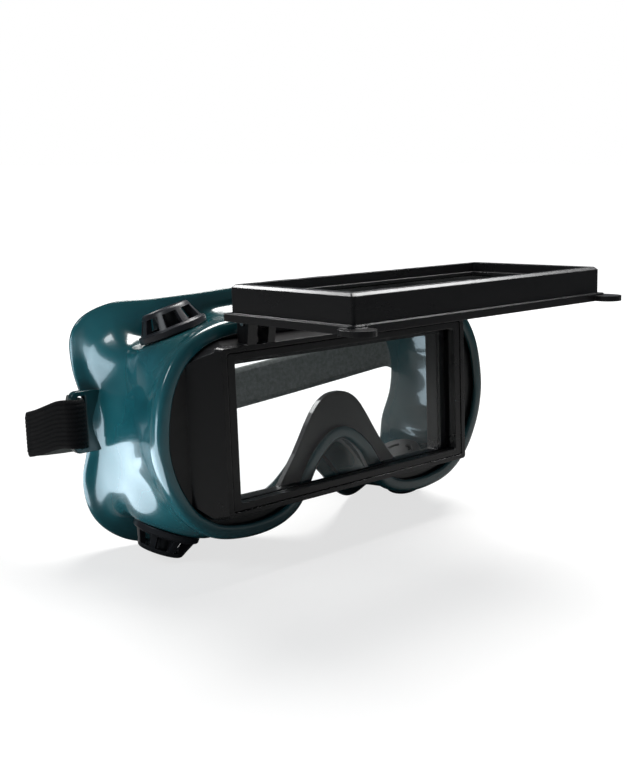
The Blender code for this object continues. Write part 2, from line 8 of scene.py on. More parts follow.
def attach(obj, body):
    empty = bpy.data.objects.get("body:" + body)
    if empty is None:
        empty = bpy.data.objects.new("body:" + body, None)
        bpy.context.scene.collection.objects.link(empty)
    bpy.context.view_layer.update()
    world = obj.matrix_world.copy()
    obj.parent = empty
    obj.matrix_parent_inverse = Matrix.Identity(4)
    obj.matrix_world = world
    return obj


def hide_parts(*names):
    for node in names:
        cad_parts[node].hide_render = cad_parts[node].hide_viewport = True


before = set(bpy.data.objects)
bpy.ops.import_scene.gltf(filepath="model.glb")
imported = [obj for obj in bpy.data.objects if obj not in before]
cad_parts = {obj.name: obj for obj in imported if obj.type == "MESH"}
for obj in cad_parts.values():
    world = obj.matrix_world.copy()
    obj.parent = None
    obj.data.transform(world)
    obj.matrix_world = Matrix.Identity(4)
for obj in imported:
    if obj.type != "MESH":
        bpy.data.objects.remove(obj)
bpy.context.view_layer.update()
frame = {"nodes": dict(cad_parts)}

MM = 0.001

# How the goggles rest on the floor, as in the CAD model.
LEAN_BACK = math.radians(3.1)
REST_HEIGHT = 50.51
REST_FORWARD = -12.23

# Camera, from the middle of the window's rim, in millimetres.
CAMERA_FROM_RIM = (-272.72, -281.48, 88.28)
CAMERA_AZIMUTH = math.radians(-41.84)
CAMERA_ELEVATION = math.radians(11.21)
CAMERA_LENS = 52.90
CAMERA_SENSOR = 36

# White surroundings, in metres. The floor's own light, seen only by the camera, grows between two
# radii, so that the floor is lamplit near the goggles and plain white further off.
ROOM_COLOUR = (0.75, 0.88, 1.0, 1)
ROOM_STRENGTH = 0.10
FLOOR_SIZE = 40
FLOOR_DROP = 0.0001
FLOOR_GREY = 0.30
FLOOR_GLOW = (0.72, 1.05)
FLOOR_GLOW_RADII = (0.15, 0.60)

# Soft body, in millimetres: half outlines seen from the front, (x, h), from the middle of the top
# round to the nose, and n at each point of the rear outline.
LIP_OUTLINE = (
    (0, 37.0), (14, 37.2), (28, 37.2), (42, 36.8), (54, 35.6), (64, 32.0), (72, 25.5),
    (77.5, 15.5), (80, 3), (79.8, -7), (76.5, -18), (69.5, -29), (59, -36.5), (46, -39.3),
    (34, -39), (25, -36.3), (18.5, -31), (10, -18.5), (0, -12.4),
)
WAIST_OUTLINE = (
    (0, 36.0), (14, 36.0), (28, 35.4), (41, 34.4), (52, 32.6), (61.5, 29), (68, 22.5),
    (71.8, 13), (73.6, 3), (73.4, -7), (72.3, -18), (69.2, -29.5), (61, -37.6),
    (48.5, -39.9), (36, -39.6), (27, -36.5), (20, -30.6), (11, -18.6), (0, -12.4),
)
REAR_OUTLINE = (
    (0, 42.0), (14, 42.0), (28, 41.0), (41, 39.5), (54, 38.2), (67, 37.6), (75.8, 32.0),
    (76, 20), (75.4, 6), (75, -7.5), (74.8, -21), (72, -33), (62.5, -41.2), (50, -43.4),
    (39, -43), (29, -40), (18.5, -34.5), (7.5, -25), (0, -20),
)
REAR_DEPTH = (
    -29, -29.5, -32, -37.5, -46, -52.5, -57.5, -58.6, -53, -53.4, -58.6, -58.3, -56, -51,
    -45, -38.5, -31.5, -27, -25.5,
)

# The waist is part of the way back along the side wall, which starts at the end of the collar.
WAIST_AT = 0.45
COLLAR_INSET = 1.3
COLLAR_END = -13.8
HALF_STATIONS = 130
LIP_FRONT = -8.0
LIP_WIDTH = 5.3
FLANGE_WIDTH = 4.3

# The wall's cross-section, from its front inner edge over the outside and back along the inside.
# Points of the front edge and of the lens carrier's seat are (outwards from the lip, n), and those
# of the flange are (outwards from the rear outline, forward of it). Steps are parts of the way back.
FRONT_EDGE = (
    (-LIP_WIDTH, LIP_FRONT - 0.7), (-LIP_WIDTH + 0.35, LIP_FRONT - 0.2), (-LIP_WIDTH + 1.0, LIP_FRONT),
    (-2.0, LIP_FRONT), (-0.9, LIP_FRONT - 0.25), (-0.2, LIP_FRONT - 0.95), (0.0, LIP_FRONT - 2.0),
    (0.0, -12.2), (-0.35, -13.0), (-1.1, -13.6),
)
OUTER_STEPS = (0.06, 0.14, 0.22, 0.31, 0.40, 0.50, 0.60, 0.69, 0.77, 0.84, 0.90)
REAR_FLANGE = (
    (0.0, 2.3), (1.5, 1.65), (FLANGE_WIDTH - 0.9, 1.1), (FLANGE_WIDTH - 0.15, 0.6),
    (FLANGE_WIDTH, -0.1), (FLANGE_WIDTH - 0.3, -0.8), (FLANGE_WIDTH - 1.2, -1.2),
    (-1.4, -1.4), (-2.6, -1.1), (-3.1, -0.2),
)
INNER_STEPS_AND_WALL = ((0.86, 3.2), (0.74, 3.0), (0.62, 2.8), (0.50, 2.6), (0.38, 2.4))
CARRIER_SEAT = (
    (-3.6, -17.2), (-5.6, -15.6), (-6.0, -14.6), (-6.0, -13.1), (-2.3, -13.1), (-2.3, -9.9),
    (-LIP_WIDTH, -9.9),
)

# Which points of the section lie on the side wall, outside and inside. The inside ones take in
# the first point of the carrier's seat.
OUTER_FROM = len(FRONT_EDGE)
INNER_FROM = OUTER_FROM + len(OUTER_STEPS) + len(REAR_FLANGE)
OUTER_WALL = range(OUTER_FROM, OUTER_FROM + len(OUTER_STEPS))
INNER_WALL = range(INNER_FROM, INNER_FROM + len(INNER_STEPS_AND_WALL) + 1)

# Vents: base centre (x, n, h) on the left and the way the cap points.
VENTS = {
    "upper": ((-57.0, -29.0, 31.8), (-0.24, -0.22, 0.95)),
    "lower": ((-59.5, -36.0, -37.4), (-0.36, -0.12, -0.93)),
}
VENT_BASE_RADIUS = 12.0
VENT_TOP_RADIUS = 8.2
VENT_HEIGHT = 8.9
SPIGOT_RADII = (5.8, 7.2)
SPIGOT_END = -5.5
CAP_STEPS = 96

# The body's wall under a vent: a bore, a flat seat, and the radius where the seat has blended away.
# Points of the wall belong to the seat within the two depths from its plane.
VENT_BORE = ((0, -12), (9.8, -12), (9.8, 6), (0, 6))
BORE_STEPS = 48
SEAT_FLAT_RADIUS = 13.4
SEAT_BLEND_RADIUS = 21.0
SEAT_HEIGHT = -0.35
OUTER_WALL_DEPTH = 16
WHOLE_WALL_DEPTH = 18

# Windows through a cap's cone: wedges that widen away from its axis.
WINDOW_COUNT = 8
WINDOW_RADII = (5.0, 16.0)
WINDOW_BOTTOM = 2.8
WINDOW_TOP = 7.3
WINDOW_SPREAD = 0.285
FIRST_WINDOW = 0.35

# Strap ears and strap.
EAR_X = (73.4, 85.5)
EAR_N = (-51.2, -54.0)
EAR_HEIGHT = 21.8
EAR_CENTRE_H = 1.8
EAR_CORNER = 2.4
EAR_ROUNDING = 0.5
SLOT_X = (80.3, 83.1)
SLOT_HEIGHT = 18.2
SLOT_CORNER = 0.7
STRAP_WIDTH = 17.0
STRAP_THICK = 1.7
STRAP_RIBS = 11
STEPS_PER_RIB = 6
RIB_DEPTH = 0.16
STRAP_STEP = 0.55
WEFT_PITCH = 0.9

SIDES = ((-1, "left"), (1, "right"))

SET_DOWN = Matrix.Translation(Vector((0, REST_FORWARD, REST_HEIGHT)) * MM)
TO_WORLD = SET_DOWN @ Matrix.Rotation(-LEAN_BACK, 4, "X")


def local(x, n, h):
    """Place in the goggles' own frame: sideways, forward of the window rim, above its centre."""
    return Vector((x, -n, h)) * MM


def point(x, n, h):
    """The same place in the world, where the goggles lean back on the floor."""
    return TO_WORLD @ local(x, n, h)


# ---------------------------------------------------------------- camera, lights and floor


def make_camera():
    """Camera of the photograph, level from side to side."""
    camera = bpy.data.objects.new("camera", bpy.data.cameras.new("camera"))
    bpy.context.scene.collection.objects.link(camera)
    bpy.context.scene.camera = camera
    back = Vector((
        math.sin(CAMERA_AZIMUTH) * math.cos(CAMERA_ELEVATION),
        -math.cos(CAMERA_AZIMUTH) * math.cos(CAMERA_ELEVATION),
        math.sin(CAMERA_ELEVATION),
    ))
    right = Vector((math.cos(CAMERA_AZIMUTH), math.sin(CAMERA_AZIMUTH), 0))
    up = back.cross(right)
    place = point(0, 0, 0) + Vector(CAMERA_FROM_RIM) * MM
    turn = Matrix((right, up, back)).transposed().to_4x4()
    camera.matrix_world = Matrix.Translation(place) @ turn
    camera.data.sensor_width = CAMERA_SENSOR
    camera.data.lens = CAMERA_LENS
    camera.data.clip_start = 0.01


def add_light(name, place, target, size, power, colour=(1, 1, 1)):
    """Rectangular lamp at a place in metres, turned towards a target."""
    light = bpy.data.lights.new(name, "AREA")
    light.shape = "RECTANGLE"
    light.size, light.size_y = size
    light.energy = power
    light.color = colour
    obj = bpy.data.objects.new(name, light)
    bpy.context.scene.collection.objects.link(obj)
    obj.location = place
    obj.rotation_euler = (Vector(target) - Vector(place)).to_track_quat("-Z", "Y").to_euler()
    return obj


def shine_only_on(lights, objects):
    """These lights leave everything else in the scene dark."""
    chosen = bpy.data.collections.new("lit_by_" + lights[0].name)
    for obj in objects:
        chosen.objects.link(obj)
    for light in lights:
        light.light_linking.receiver_collection = chosen


def make_world():
    """White where the camera looks past the object, a dimmer studio for the reflections."""
    world = bpy.data.worlds.new("studio")
    bpy.context.scene.world = world
    world.use_nodes = True
    nodes, links = world.node_tree.nodes, world.node_tree.links
    shown = nodes["Background"]
    shown.inputs["Color"].default_value = (1, 1, 1, 1)
    shown.inputs["Strength"].default_value = 1.0
    room = nodes.new("ShaderNodeBackground")
    room.inputs["Color"].default_value = ROOM_COLOUR
    room.inputs["Strength"].default_value = ROOM_STRENGTH
    path = nodes.new("ShaderNodeLightPath")
    mix = nodes.new("ShaderNodeMixShader")
    links.new(path.outputs["Is Camera Ray"], mix.inputs[0])
    links.new(room.outputs[0], mix.inputs[1])
    links.new(shown.outputs[0], mix.inputs[2])
    links.new(mix.outputs[0], nodes["World Output"].inputs["Surface"])


def make_floor():
    """White paper sweep: lit by the lamps near the goggles and simply white further off."""
    bpy.ops.mesh.primitive_plane_add(size=FLOOR_SIZE, location=(0, 0, -FLOOR_DROP))
    floor = bpy.context.object
    floor.name = "floor"
    look = Look("white_paper")
    grey = (FLOOR_GREY, FLOOR_GREY, FLOOR_GREY, 1)
    look.set(Base_Color=grey, Roughness=0.8, Specular_IOR_Level=0.05, Emission_Color=(1, 1, 1, 1))
    away = look.add("VectorMath")
    away.operation = "LENGTH"
    look.links.new(look.place, away.inputs[0])
    glow = look.spread(away.outputs["Value"], *FLOOR_GLOW, *FLOOR_GLOW_RADII)
    seen = look.add("LightPath").outputs["Is Camera Ray"]
    look.feed("Emission Strength", look.maths("MULTIPLY", glow, seen))
    floor.data.materials.append(look.material)


# ---------------------------------------------------------------- materials


class Look:
    """A node material in the making: one Principled shader and short calls for what feeds it."""

    noise_roughness = 0.55
    bevel_samples = 6

    def __init__(self, name):
        self.material = bpy.data.materials.new(name)
        self.material.use_nodes = True
        self.nodes = self.material.node_tree.nodes
        self.links = self.material.node_tree.links
        self.shader = self.nodes["Principled BSDF"]
        self.place = self.nodes.new("ShaderNodeTexCoord").outputs["Object"]
        self.normal = None

    def set(self, **values):
        self.fill(self.shader, values)

    def fill(self, node, values):
        for key, value in values.items():
            node.inputs[key.replace("_", " ")].default_value = value

    def add(self, kind, **values):
        """New shader node of this kind, with these inputs set."""
        node = self.nodes.new("ShaderNode" + kind)
        self.fill(node, values)
        return node

    def noise(self, scale, detail, stretch=None):
        """Cloudy noise from 0 to 1; stretch scales it along x, y and z."""
        node = self.add("TexNoise", Scale=scale, Detail=detail, Roughness=self.noise_roughness)
        source = self.place
        if stretch:
            mapping = self.add("Mapping", Scale=stretch)
            self.links.new(source, mapping.inputs["Vector"])
            source = mapping.outputs[0]
        self.links.new(source, node.inputs["Vector"])
        return node.outputs["Fac"]

    def spread(self, source, low, high, from_low=0.0, from_high=1.0):
        """Low where the source is from_low, high where it is from_high, and never beyond."""
        node = self.add("MapRange")
        for number, value in enumerate((from_low, from_high, low, high), start=1):
            node.inputs[number].default_value = value
        self.links.new(source, node.inputs[0])
        return node.outputs[0]

    def ramp(self, source, start, end):
        return self.spread(source, 0, 1, start, end)

    def maths(self, kind, a, b=0.0):
        node = self.add("Math")
        node.operation = kind
        for socket, value in zip(node.inputs, (a, b)):
            if isinstance(value, (int, float)):
                socket.default_value = value
            else:
                self.links.new(value, socket)
        return node.outputs[0]

    def mix(self, amount, a, b):
        """Colour a where the amount is 0 and colour b where it is 1."""
        node = self.add("Mix")
        node.data_type = "RGBA"
        self.links.new(amount, node.inputs[0])
        colour_a, colour_b, mixed = node.inputs[6], node.inputs[7], node.outputs[2]
        for socket, value in ((colour_a, a), (colour_b, b)):
            if isinstance(value, tuple):
                socket.default_value = (*value, 1)
            else:
                self.links.new(value, socket)
        return mixed

    def mix_shaders(self, amount, a, b):
        """Shader node a where the amount is 0 and shader node b where it is 1."""
        node = self.add("MixShader")
        for socket, source in zip(node.inputs, (amount, a.outputs[0], b.outputs[0])):
            self.links.new(source, socket)
        return node

    def feed(self, key, source):
        self.links.new(source, self.shader.inputs[key])

    def use_normal(self, normal):
        self.normal = normal
        self.feed("Normal", normal)

    def bump(self, source, strength, distance):
        """Adds one layer of relief on top of the ones before it."""
        node = self.add("Bump", Strength=strength, Distance=distance)
        self.links.new(source, node.inputs["Height"])
        if self.normal is not None:
            self.links.new(self.normal, node.inputs["Normal"])
        self.use_normal(node.outputs[0])

    def bevel(self, radius):
        node = self.add("Bevel", Radius=radius)
        node.samples = self.bevel_samples
        return node.outputs[0]

    def edge_mask(self, radius):
        """1 near sharp edges and 0 on flat faces."""
        shape = self.add("NewGeometry")
        dot = self.add("VectorMath")
        dot.operation = "DOT_PRODUCT"
        self.links.new(self.bevel(radius), dot.inputs[0])
        self.links.new(shape.outputs["True Normal"], dot.inputs[1])
        sharp, flat = 0.80, 0.985
        return self.spread(dot.outputs["Value"], 1.0, 0.0, sharp, flat)


def soft_vinyl():
    """Glossy dark teal, slightly cloudy and slightly wavy."""
    look = Look("teal_vinyl")
    deep, light = (0.004, 0.041, 0.048), (0.008, 0.060, 0.066)
    look.feed("Base Color", look.mix(look.ramp(look.noise(38, 4), 0.35, 0.7), deep, light))
    look.set(Specular_IOR_Level=0.6, Coat_Weight=0.6, Coat_Roughness=0.04)
    look.set(Subsurface_Weight=0.12, Subsurface_Scale=0.004, Subsurface_Radius=(0.3, 1.0, 1.0))
    look.feed("Roughness", look.spread(look.noise(150, 5), 0.16, 0.28))
    look.bump(look.noise(55, 2), 0.25, 0.0008)
    look.bump(look.noise(900, 3), 0.12, 0.0001)
    return look.material


def moulded_black(name, colour, rough, grain=1.0, edge_radius=0.0004):
    """Satin plastic with flow marks, a fine grain and edges that are rubbed paler in places."""
    look = Look(name)
    worn_width = 0.0006
    look.use_normal(look.bevel(edge_radius))
    patchy = look.ramp(look.noise(260, 4), 0.42, 0.66)
    worn = look.maths("MULTIPLY", look.edge_mask(worn_width), patchy)
    rubbed = tuple(3.2 * c + 0.02 for c in colour)
    look.feed("Base Color", look.mix(worn, colour, rubbed))
    flow = look.noise(60, 5, stretch=(0.35, 1.0, 1.0))
    look.feed("Roughness", look.spread(flow, rough - 0.06, rough + 0.10))
    look.set(Specular_IOR_Level=0.5)
    look.bump(look.noise(70, 2), 0.10, 0.0004)
    look.bump(look.noise(1800, 3), 0.16 * grain, 0.00006)
    return look.material


def clear_plate(name, tint, haze):
    """Thin clear sheet: see-through, with gloss that grows at a slant and a few faint smears."""
    look = Look(name)
    clear = look.add("BsdfTransparent", Color=(*tint, 1))
    gloss = look.add("BsdfGlossy", Color=(1, 1, 1, 1))
    look.links.new(look.spread(look.noise(45, 5), 0.01, 0.06), gloss.inputs["Roughness"])
    fresnel = look.add("Fresnel", IOR=1.45)
    front = look.maths("SUBTRACT", 1.0, look.add("NewGeometry").outputs["Backfacing"])
    uneven = look.maths("MULTIPLY", fresnel.outputs[0], look.spread(look.noise(30, 3), 0.8, 1.2))
    clean = look.mix_shaders(look.maths("MULTIPLY", uneven, front), clear, gloss)
    dust = look.add("BsdfDiffuse", Color=(0.8, 0.84, 0.86, 1))
    smears = look.spread(look.noise(22, 6), 0.0, haze, 0.45, 0.8)
    sheet = look.mix_shaders(smears, clean, dust)
    look.links.new(sheet.outputs[0], look.nodes["Material Output"].inputs["Surface"])
    return look.material


def shade_filter():
    """Near-black filter plate with a green cast and a polished face."""
    look = Look("dark_filter")
    look.set(Base_Color=(0.004, 0.012, 0.008, 1), Specular_IOR_Level=0.6, Coat_Weight=0.5)
    look.feed("Roughness", look.spread(look.noise(40, 5), 0.03, 0.10))
    look.bump(look.noise(25, 2), 0.06, 0.0002)
    return look.material


def seal_rubber():
    """Matt black rubber."""
    look = Look("seal_rubber")
    dark, dusty = (0.012, 0.012, 0.012), (0.03, 0.03, 0.03)
    look.feed("Base Color", look.mix(look.noise(300, 4), dark, dusty))
    look.feed("Roughness", look.spread(look.noise(200, 4), 0.6, 0.85))
    look.bump(look.noise(1500, 3), 0.3, 0.0001)
    return look.material


def pin_steel():
    """Bright steel with drawing marks along the pin."""
    look = Look("pin_steel")
    along = (0.05, 1, 1)
    look.set(Metallic=1.0, Base_Color=(0.62, 0.62, 0.64, 1))
    look.feed("Roughness", look.spread(look.noise(900, 3, along), 0.2, 0.42))
    look.bump(look.noise(1400, 2, along), 0.15, 0.00005)
    return look.material


def elastic_webbing():
    """Woven elastic: charcoal cords lengthwise with a fine weft across them.

    The place across the strap runs 0 to 1 on its ribbed outside and 2 to 3 on its smooth inside.
    """
    look = Look("elastic_webbing")
    uv = look.add("UVMap")
    uv.uv_map = "along"
    parts = look.add("SeparateXYZ")
    look.links.new(uv.outputs[0], parts.inputs[0])
    along, across = parts.outputs[0], parts.outputs[1]
    turns = look.maths("MULTIPLY", along, 2 * math.pi / WEFT_PITCH)
    weft = look.ramp(look.maths("SINE", turns), -1, 1)
    half_rib = look.maths("FLOOR", look.maths("MULTIPLY", across, 2 * STRAP_RIBS))
    staggered = look.maths("ADD", turns, look.maths("MULTIPLY", half_rib, math.pi))
    knots = look.ramp(look.maths("SINE", staggered), -1, 1)
    sway = look.maths("SINE", look.maths("MULTIPLY", across, math.pi * STRAP_RIBS))
    is_inside = look.maths("GREATER_THAN", across, 1.5)
    is_outside = look.maths("SUBTRACT", 1.0, is_inside)
    rib = look.maths("MULTIPLY", look.maths("ABSOLUTE", sway), is_outside)
    fibre = look.noise(700, 4)
    # The rib crests are painted paler than the grooves between them: a painted highlight along each rib,
    # broken up by the fibre noise.
    crest_highlight = look.maths("MULTIPLY", rib, look.spread(fibre, 0.35, 1.0, 0.3, 0.75))
    outside = look.mix(crest_highlight, (0.0015, 0.0015, 0.002), (0.011, 0.011, 0.0125))
    inside = look.mix(look.ramp(fibre, 0.3, 0.7), (0.15, 0.16, 0.155), (0.24, 0.255, 0.25))
    look.feed("Base Color", look.mix(is_inside, outside, inside))
    look.feed("Roughness", look.spread(fibre, 0.62, 0.9))
    look.set(Sheen_Weight=0.02, Sheen_Roughness=0.45, Specular_IOR_Level=0.2)
    look.bump(look.maths("MULTIPLY", knots, rib), 0.55, 0.00016)
    look.bump(weft, 0.15, 0.00008)
    look.bump(fibre, 0.35, 0.00010)
    return look.material


# ---------------------------------------------------------------- mesh helpers


def new_object(name, bm, look, sharp_angle=35):
    """Smooth-shaded object, sharp where faces turn by more than the angle; 0 keeps no edge sharp."""
    bmesh.ops.recalc_face_normals(bm, faces=bm.faces)
    mesh = bpy.data.meshes.new(name)
    bm.to_mesh(mesh)
    bm.free()
    obj = bpy.data.objects.new(name, mesh)
    bpy.context.scene.collection.objects.link(obj)
    mesh.materials.append(look)
    mesh.shade_smooth()
    if sharp_angle:
        mesh.set_sharp_from_angle(angle=math.radians(sharp_angle))
    return obj


def stands_for(piece, body, slot, *nodes):
    """Shows the piece in place of these CAD nodes."""
    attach(piece, body)
    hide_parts(*nodes)


def apply_cut(obj, cutter):
    """Applies the object's modifiers and then the cut, and removes the cutter."""
    cut = obj.modifiers.new("cut", "BOOLEAN")
    cut.operation = "DIFFERENCE"
    cut.solver = "EXACT"
    cut.object = cutter
    graph = bpy.context.evaluated_depsgraph_get()
    mesh = bpy.data.meshes.new_from_object(obj.evaluated_get(graph))
    obj.modifiers.clear()
    obj.data = mesh
    bpy.data.objects.remove(cutter)


def turned(name, profile, steps, matrix, look):
    """Spins a closed (radius, height) profile, in millimetres, round its own axis."""
    bm = bmesh.new()
    rings = []
    for radius, height in profile:
        if radius == 0:
            rings.append([bm.verts.new((0, 0, height * MM))])
            continue
        ring = []
        for step in range(steps):
            turn = 2 * math.pi * step / steps
            place = Vector((radius * math.cos(turn), radius * math.sin(turn), height)) * MM
            ring.append(bm.verts.new(place))
        rings.append(ring)
    for low, high in zip(rings, rings[1:] + rings[:1]):
        if len(low) == 1 and len(high) == 1:
            continue
        for step in range(steps):
            after = (step + 1) % steps
            corners = [low[step % len(low)], low[after % len(low)]]
            corners += [high[after % len(high)], high[step % len(high)]]
            bm.faces.new(list(dict.fromkeys(corners)))
    bmesh.ops.transform(bm, matrix=matrix, verts=bm.verts)
    return new_object(name, bm, look)


def rounded_rectangle(width, height, radius, centre_x, steps=8):
    """Outline with this many steps in each rounded corner."""
    outline = []
    for quarter, (side_x, side_h) in enumerate(((1, 1), (-1, 1), (-1, -1), (1, -1))):
        cx = side_x * (width / 2 - radius) + centre_x
        ch = side_h * (height / 2 - radius)
        for step in range(steps + 1):
            turn = math.radians(90 * quarter + 90 * step / steps)
            outline.append((cx + radius * math.cos(turn), ch + radius * math.sin(turn)))
    return outline


def catmull_rom(before, a, b, after, u):
    """Value u of the way from a to b, for numbers and for vectors."""
    u2, u3 = u * u, u * u * u
    return (
        (2 * u3 - 3 * u2 + 1) * a
        + (u3 - 2 * u2 + u) * (b - before) / 2
        + (3 * u2 - 2 * u3) * b
        + (u3 - u2) * (after - a) / 2
    )


def smooth_value(values, t, mirror_sign=1.0):
    """Curve through a list at place t, mirrored past both ends with this sign."""
    last = len(values) - 1
    i = min(int(t), last - 1)
    picks = []
    for k in (i - 1, i, i + 1, i + 2):
        beyond = k < 0 or k > last
        value = values[min(abs(k), 2 * last - abs(k))]
        picks.append(value * mirror_sign if beyond else value)
    return catmull_rom(*picks, t - i)


def smooth_step(low, high, value):
    t = min(1.0, max(0.0, (value - low) / (high - low)))
    return t * t * (3 - 2 * t)


# ---------------------------------------------------------------- soft body


def full_ring(outline):
    """Smooth closed outline made of a half outline and its mirror image."""
    last = len(outline) - 1
    xs, hs = zip(*outline)
    right = []
    for k in range(HALF_STATIONS + 1):
        t = last * k / HALF_STATIONS
        right.append((smooth_value(xs, t, -1.0), smooth_value(hs, t)))
    left = [(-x, h) for x, h in right[-2:0:-1]]
    return right + left


def outward(ring):
    """Unit vector pointing out of the ring at each of its points."""
    found = []
    count = len(ring)
    for k in range(count):
        ax, ah = ring[k - 1]
        bx, bh = ring[(k + 1) % count]
        dx, dh = bx - ax, bh - ah
        size = math.hypot(dx, dh)
        found.append((-dh / size, dx / size))
    return found


def offset(at, way, distance):
    return (at[0] + way[0] * distance, at[1] + way[1] * distance)


def flank_at(lip, waist, rear, depth, f):
    """Place on the side wall, f of the way from the collar to the rear flange."""
    w_lip = (1 - f) * (WAIST_AT - f) / WAIST_AT
    w_waist = f * (1 - f) / (WAIST_AT * (1 - WAIST_AT))
    w_rear = f * (f - WAIST_AT) / (1 - WAIST_AT)
    x = w_lip * lip[0] + w_waist * waist[0] + w_rear * rear[0]
    h = w_lip * lip[1] + w_waist * waist[1] + w_rear * rear[1]
    return (x, h), COLLAR_END + f * (depth - COLLAR_END)


def ripple(x, n, h):
    """Slight waviness of a soft moulding, in millimetres."""
    slow = math.sin(0.19 * h + 0.11 * n + 0.6) * math.sin(0.16 * n + 0.07 * x)
    return 0.28 * slow + 0.12 * math.sin(0.41 * h - 0.23 * n)


def body_section(lip, lip_way, waist, rear, rear_way, deep):
    """Cross-section of the wall as ((x, h), n) at one place round the body."""
    collar = offset(lip, lip_way, -COLLAR_INSET)
    section = [(offset(lip, lip_way, out), n) for out, n in FRONT_EDGE]
    for f in OUTER_STEPS:
        place, n = flank_at(collar, waist, rear, deep, f)
        section.append((offset(place, lip_way, ripple(place[0], n, place[1])), n))
    section += [(offset(rear, rear_way, out), deep + ahead) for out, ahead in REAR_FLANGE]
    for f, wall in INNER_STEPS_AND_WALL:
        place, n = flank_at(collar, waist, rear, deep, f)
        section.append((offset(place, lip_way, -wall), n))
    section += [(offset(lip, lip_way, out), n) for out, n in CARRIER_SEAT]
    return section


def vent_matrix(which, side):
    """Puts a shape made round +Z onto a vent's base, in the goggles' own frame."""
    (x, n, h), (ax, an, ah) = VENTS[which]
    way = Vector((-side * ax, -an, ah)).normalized()
    turn = way.to_track_quat("Z", "X").to_matrix().to_4x4()
    return Matrix.Translation(local(-side * x, n, h)) @ turn


def seat_vent(sections, where):
    """Draws the wall out to a flat round seat under one vent, and blends it back."""
    flat, reach = SEAT_FLAT_RADIUS * MM, SEAT_BLEND_RADIUS * MM
    back = where.inverted()

    def near(walls, depth):
        for i, section in enumerate(sections):
            for k in walls:
                place = back @ section[k]
                away = math.hypot(place.x, place.y)
                if away < reach and abs(place.z) < depth * MM:
                    yield i, k, place, away

    surface = [place for _, _, place, _ in near(OUTER_WALL, OUTER_WALL_DEPTH)]
    tree = kdtree.KDTree(len(surface))
    for number, place in enumerate(surface):
        tree.insert(Vector((place.x, place.y, 0)), number)
    tree.balance()
    moves = []
    for i, k, place, away in near((*OUTER_WALL, *INNER_WALL), WHOLE_WALL_DEPTH):
        _, number, _ = tree.find(Vector((place.x, place.y, 0)))
        keep = 1 - smooth_step(flat, reach, away)
        lift = (SEAT_HEIGHT * MM - surface[number].z) * keep
        moves.append((i, k, where @ Vector((place.x, place.y, place.z + lift))))
    for i, k, place in moves:
        sections[i][k] = place


def body_shell(look):
    """Soft body: one closed wall swept round the face, with its vent seats and vent holes."""
    lip, waist, rear = full_ring(LIP_OUTLINE), full_ring(WAIST_OUTLINE), full_ring(REAR_OUTLINE)
    last = len(REAR_DEPTH) - 1
    right = [smooth_value(REAR_DEPTH, last * k / HALF_STATIONS) for k in range(HALF_STATIONS + 1)]
    depth = right + right[-2:0:-1]
    sections = []
    for station in zip(lip, outward(lip), waist, rear, outward(rear), depth):
        sections.append([local(x, n, h) for (x, h), n in body_section(*station)])
    vents = [vent_matrix(which, side) for side, _ in SIDES for which in VENTS]
    for where in vents:
        seat_vent(sections, where)
    bm = bmesh.new()
    grid = [[bm.verts.new(TO_WORLD @ place) for place in section] for section in sections]
    for a, b in zip(grid, grid[1:] + grid[:1]):
        for k in range(len(a)):
            m = (k + 1) % len(a)
            bm.faces.new((a[k], a[m], b[m], b[k]))
    body = new_object("body_shell", bm, look, sharp_angle=0)
    smooth = body.modifiers.new("smooth", "SUBSURF")
    smooth.levels = 1
    smooth.render_levels = 1
    for where in vents:
        apply_cut(body, turned("vent_hole_cutter", VENT_BORE, BORE_STEPS, TO_WORLD @ where, look))
    return body


def strap_ear(side, word, look):
    """Flat ear with a slot, standing out of the rear flange."""
    ear_outline = rounded_rectangle(EAR_X[1] - EAR_X[0], EAR_HEIGHT, EAR_CORNER, side * sum(EAR_X) / 2)
    slot_outline = rounded_rectangle(
        SLOT_X[1] - SLOT_X[0], SLOT_HEIGHT, SLOT_CORNER, side * sum(SLOT_X) / 2
    )
    bm = bmesh.new()
    rings = []
    for outline in (ear_outline, slot_outline):
        for n in EAR_N:
            rings.append([bm.verts.new(point(x, n, h + EAR_CENTRE_H)) for x, h in outline])
    outer_near, outer_far, inner_near, inner_far = rings
    count = len(outer_near)
    for i in range(count):
        j = (i + 1) % count
        bm.faces.new((outer_near[i], outer_near[j], outer_far[j], outer_far[i]))
        bm.faces.new((inner_near[j], inner_near[i], inner_far[i], inner_far[j]))
        bm.faces.new((outer_near[j], outer_near[i], inner_near[i], inner_near[j]))
        bm.faces.new((outer_far[i], outer_far[j], inner_far[j], inner_far[i]))
    ear = new_object(f"strap_ear_{word}", bm, look)
    edges = ear.modifiers.new("edges", "BEVEL")
    edges.width = EAR_ROUNDING * MM
    edges.segments = 3
    edges.limit_method = "ANGLE"
    edges.angle_limit = math.radians(50)
    return ear


# ---------------------------------------------------------------- vents


